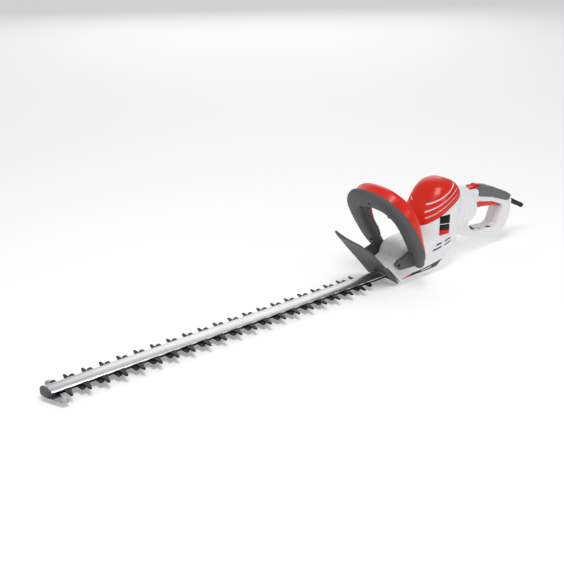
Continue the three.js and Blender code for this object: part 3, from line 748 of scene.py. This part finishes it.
# %% The curve of the loop
LEAN = math.radians(32)
LOOP_ORIGIN = (12.3, 70.6)
HALF_LOOP = [(50.5, -40), (55, -21), (60.5, -3), (63.5, 28), (63.5, 60), (56, 90), (34, 112)]
LOOP = HALF_LOOP + [(0, 118)] + [(-across, up) for across, up in reversed(HALF_LOOP)]
loop_points = smooth_rows(LOOP, 14)
print("points on the loop:", len(loop_points))


def on_loop(up, across, out):
    return (LOOP_ORIGIN[0] + up * math.sin(LEAN) + out * math.cos(LEAN), across,
            LOOP_ORIGIN[1] + up * math.cos(LEAN) - out * math.sin(LEAN))


def blend(value, low, high):
    return min(1.0, max(0.0, (value - low) / (high - low)))


LEG_BAND, TOP_BAND = 9.5, 20
SHALLOW, DEEP = 6.5, 28
RIM, LEVER_WALL, LEVER_GAP = 2.4, 2.2, 0.5


def band_at(up):
    """Half the width of the loop's band, which narrows down its legs."""
    return LEG_BAND + (TOP_BAND - LEG_BAND) * blend(up, -40, 6)


def lever_depth(up):
    """How far the lever reaches behind the loop's face, deepest at the top."""
    return SHALLOW + (DEEP - SHALLOW) * blend(up, -8, 92)


def grip_section(up):
    b = band_at(up)
    inner = max(7 + 4 * blend(up, -14, 14), lever_depth(up) - 9)
    return [(b, -1.5), (b, 3.5), (0.9 * b, 7), (0.6 * b, 10), (0, 11.2), (-0.6 * b, 10), (-0.9 * b, 7), (-b, 3),
            (-b, -inner), (RIM - b, -inner), (RIM - b, 4.2), (-0.6 * b, 7), (0.6 * b, 7), (b - RIM, 4.2),
            (b - RIM, -1.5)]


def lever_section(up):
    b = band_at(up) - RIM - LEVER_GAP - 2 * blend(up, 60, 100)
    d = lever_depth(up)
    turn = min(9, d - 3)
    outer = [(b, -0.9), (b, turn - d), (b - 3, 0.3 * turn - d), (b - 8, -d), (4 - b, -d), (-b, 3 - d), (-b, -0.9)]
    w = b - LEVER_WALL
    inner = [(-w, -0.9), (-w, 4.2 - d), (5 - b, 2.4 - d), (b - 8.5, 2.4 - d), (b - 4.6, 0.3 * turn + 1.8 - d),
             (w, turn + 0.8 - d), (w, -0.9)]
    return outer + inner


def sweep(name, lowest, section):
    rings = []
    last = len(loop_points) - 1
    for k, (across, up) in enumerate(loop_points):
        if up < lowest:
            continue
        before, after = loop_points[max(0, k - 1)], loop_points[min(last, k + 1)]
        along = (after - before) / np.linalg.norm(after - before)
        rings.append([on_loop(up - u * along[0], across + u * along[1], out) for u, out in section(up)])
    return loft(name, rings)


# %% Front grip and switch lever
LEG_FOOT = [(54, 47), (40, 34), (2, 32), (-8, 38), (-5, 52), (10, 68), (26, 60), (44, 55)]
FOOT_SIDES = (38.9, 45.6)
SCREWS = [(115, 0), (91, 36), (91, -36), (-2, 53), (-2, -53)]
FOOT_SCREW = (44, 45)
SCREW_SEAT, FOOT_SEAT = 7.6, 43
WELL_RADIUS, FOOT_WELL_RADIUS = 3.6, 3.4
WELL_SIDES = 28
LEG_END, LEVER_END = -60, -7
grip = merged("front_grip", [sweep("grip_sweep", LEG_END, grip_section)] + [
    prism("leg_foot", LEG_FOOT, *sorted(side * y for y in FOOT_SIDES)) for side in (1, -1)])
melt(grip, 1.0, 4)


def turned(name, start, axis, profile, sides):
    """A lathe shape: radii at distances along an axis from its start."""
    turn = axis.to_track_quat("Z", "Y").to_matrix()
    return loft(name, [
        [tuple(start + turn @ Vector((radius * math.cos(a), radius * math.sin(a), along))) for a in circle(sides)]
        for along, radius in profile])


def well(name, start, end, radius):
    start, end = Vector(start), Vector(end)
    return turned(name, start, (end - start).normalized(), [(0, radius), ((end - start).length, radius)], WELL_SIDES)


for up, across in SCREWS:
    carve(grip, well("screw_well", on_loop(up, across, SCREW_SEAT), on_loop(up, across, 30), WELL_RADIUS))
for side in (1, -1):
    foot_x, foot_z = FOOT_SCREW
    seat, outside_end = (foot_x, side * FOOT_SEAT, foot_z), (foot_x, side * 60, foot_z)
    carve(grip, well("foot_well", seat, outside_end, FOOT_WELL_RADIUS))
dress(grip, "grey_plastic", "body", "front_handle")
lever = sweep("switch_lever", LEVER_END, lever_section)
melt(lever, 0.9, 4)
dress(lever, "red_plastic", "bail", "switch_bail")

# %% [markdown]
# ## Screws
# Each screw is a low domed head with a cross recess. The head is a small lathe shape; the recess is two crossed
# bars cut into it.


# %% Screws
def screw(name, centre, axis, radius, height, replaced):
    profile = [(0, radius), (height * 0.45, radius), (height * 0.85, radius * 0.86), (height, radius * 0.45)]
    head = turned(name, Vector(), Vector((0, 0, 1)), profile, WELL_SIDES)
    narrow, long = radius * 0.16, radius * 0.62
    for half_x, half_y in ((narrow, long), (long, narrow)):
        ring = [(half_x, half_y), (-half_x, half_y), (-half_x, -half_y), (half_x, -half_y)]
        carve(head, loft("recess", [[(a, b, level) for a, b in ring] for level in (height * 0.35, height + 1)]))
    turn = Vector(axis).normalized().to_track_quat("Z", "Y").to_matrix()
    head.data.transform(Matrix.Translation(Vector(centre) * MM) @ turn.to_4x4())
    face_outward(head)
    dress(head, "dark_fastener", "body", replaced, smooth=35)


out_of_face = Vector(on_loop(0, 0, 1)) - Vector(on_loop(0, 0, 0))
for k, (up, across) in enumerate(SCREWS):
    centre = on_loop(up, across, SCREW_SEAT + 0.3)
    screw(f"grip_screw_head_{k + 1}", centre, out_of_face, 3.05, 1.3, f"grip_screw_{k + 1}")
for side, word in ((1, "left"), (-1, "right")):
    centre = (FOOT_SCREW[0], side * (FOOT_SEAT + 0.3), FOOT_SCREW[1])
    screw(f"foot_screw_head_{word}", centre, (0, side, 0), 2.85, 1.4, f"foot_screw_{word}")

# %% [markdown]
# ## The rear handle and the parts a hand works
# The D-shaped handle is two half mouldings with a soft pad let into the top of the grip, a trigger below, a lock
# button above and a latch on the lower bar. Their outlines come straight from the frame. Melting each at a fine
# voxel keeps its size within a fraction of a millimetre and gives it the soft edges of a moulding.


# %% Soft-edged copies
def moulded(name, slot_name, body, cad_names, voxel, rounds):
    dress(melt(copy_of(name, *cad_names), voxel, rounds), slot_name, body, *cad_names)


def notch_outline(front, back, low, high):
    return [(front, low), (front, high), (back, high), (back, low)]


NOTCHES = [(-226, -231, 41.6), (-237, -241.5, 40.8), (-248, -264, 39.4)]
NOTCH_SIDES = (3.5, 13.5)
SHADE_BLOCK_GAP = 0.2
rear_shell = melt(copy_of("rear_handle_shell", "handle_left", "handle_right"), 1.0, 6)
for front, back, level in NOTCHES:
    carve(rear_shell, prism("bar_notch", notch_outline(front, back, level, 60), *NOTCH_SIDES))
dress(rear_shell, "white_plastic", "rear_handle", "handle_left", "handle_right")
moulded("rear_grip_pad", "soft_grip", "rear_handle", ["grip_pad"], 0.8, 6)
# Painted shade: a thin black block at the floor of each notch stands in for the shadow deep inside it.
for k, (front, back, level) in enumerate(NOTCHES):
    outline = notch_outline(front - SHADE_BLOCK_GAP, back + SHADE_BLOCK_GAP, level + 0.1, level + 1.3)
    shade_block = prism(f"bar_notch_shade_{k + 1}", outline, NOTCH_SIDES[0] + SHADE_BLOCK_GAP, NOTCH_SIDES[1] - SHADE_BLOCK_GAP)
    apply(shade_block, "BEVEL", width=0.4 * MM, segments=2)
    dress(shade_block, "black_plastic", "rear_handle")
moulded("trigger_lever", "red_plastic", "trigger_body", ["trigger"], 0.6, 5)
moulded("lock_off_button", "red_plastic", "lock_button_body", ["lock_button"], 0.5, 5)
moulded("turning_latch", "grey_plastic", "latch_body", ["rotation_latch"], 0.45, 4)
moulded("blade_hand_guard", "grey_plastic", "body", ["hand_guard"], 0.8, 5)

# %% [markdown]
# ## Blades, bar and tip
# The two blades are stamped plates with ground flanks, so each keeps its outline and gets a fine chamfer along
# every edge, which catches the light as a ground edge does. The bar above them is a drawn section with rounded
# shoulders and a crowned middle, and the tip carries a steel plate that keeps the last teeth off the ground.


# %% Chamfered metal
def machined(name, slot_name, body, cad_name, width):
    piece = copy_of(name, cad_name)
    apply(piece, "BEVEL", width=width * MM, segments=2, limit_method="ANGLE", angle_limit=math.radians(32))
    dress(piece, slot_name, body, cad_name, smooth=32)


machined("upper_cutter", "blade_steel", "upper_blade", "blade_upper", 0.5)
machined("lower_cutter", "blade_steel", "lower_blade", "blade_lower", 0.5)
machined("tip_plate", "fastener_steel", "body", "tip_guard", 0.5)
machined("tip_bolt_head", "fastener_steel", "body", "tip_bolt", 0.3)
machined("sole", "grey_plastic", "body", "sole_plate", 0.5)
for k in range(1, 6):
    machined(f"bar_bolt_head_{k}", "fastener_steel", "body", f"bar_bolt_{k}", 0.35)
moulded("bar_nose_cap", "grey_plastic", "body", ["bar_nose"], 0.5, 5)

# %% Bar
low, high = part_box("blade_bar")
BAR_BOTTOM = 14.4
shoulder = [(14, BAR_BOTTOM), (14, 15.6), (13.4, 16.1), (11, 16.9), (8, 17.7), (5, 18.3), (2, 18.5)]
crown = shoulder + [(0, 18.55)] + [(-across, up) for across, up in reversed(shoulder)]
ends = [(low.x / MM, 0.9), (low.x / MM + 1, 1.0), (high.x / MM - 2, 1.0), (high.x / MM, 0.93)]
rings = [[(along, across * scale, BAR_BOTTOM + (up - BAR_BOTTOM) * scale) for across, up in crown]
         for along, scale in ends]
dress(loft("guide_bar", rings), "bar_steel", "body", "blade_bar", smooth=30)

# %% [markdown]
# ## The cord sleeve
# A bend guard leaves the back of the handle: a tapering rubber sleeve with rings cut round it, ending in a collar
# where the flex would begin.

# %% Cord sleeve
RING_PITCH, RING_DEPTH = 4.2, 0.55
low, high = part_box("cord_sleeve")
start = Vector((high.x / MM, 0, high.z / MM - 5))
stop = Vector((low.x / MM + 2.5, 0, low.z / MM + 5))
length = (stop - start).length
profile = []
for share in np.linspace(0.0, 1.0, 150):
    along = share * length
    radius = 5.6 - 0.9 * share
    if 0.08 < share < 0.78:
        radius -= RING_DEPTH * (0.5 - 0.5 * math.cos(2 * math.pi * along / RING_PITCH)) ** 3
    if 0.84 < share < 0.9:
        radius = 4.2
    elif share >= 0.9:
        radius = 5.2
    profile.append((along, radius))
sleeve = turned("cord_bend_guard", start, (stop - start).normalized(), profile, 32)
dress(sleeve, "black_plastic", "rear_handle", "cord_sleeve", smooth=60)
print("sleeve length:", round(length, 1), "mm")

# %% [markdown]
# ## The parts inside
# The motor, the gears and the switches keep their frame shapes, because the housing hides them. Each still gets
# its own finish, so that an opened view shows copper, steel and nylon.

# %% Finishes for the carried-over parts
slot_of = {row["node"]: row["material_slot"] for row in frame["record"]["subparts"]}
kept = 0
for name, node in nodes.items():
    if node.hide_render:
        continue
    node.data.materials.clear()
    node.data.materials.append(finishes[slot_of[name]])
    kept += 1
print("frame parts kept:", kept)
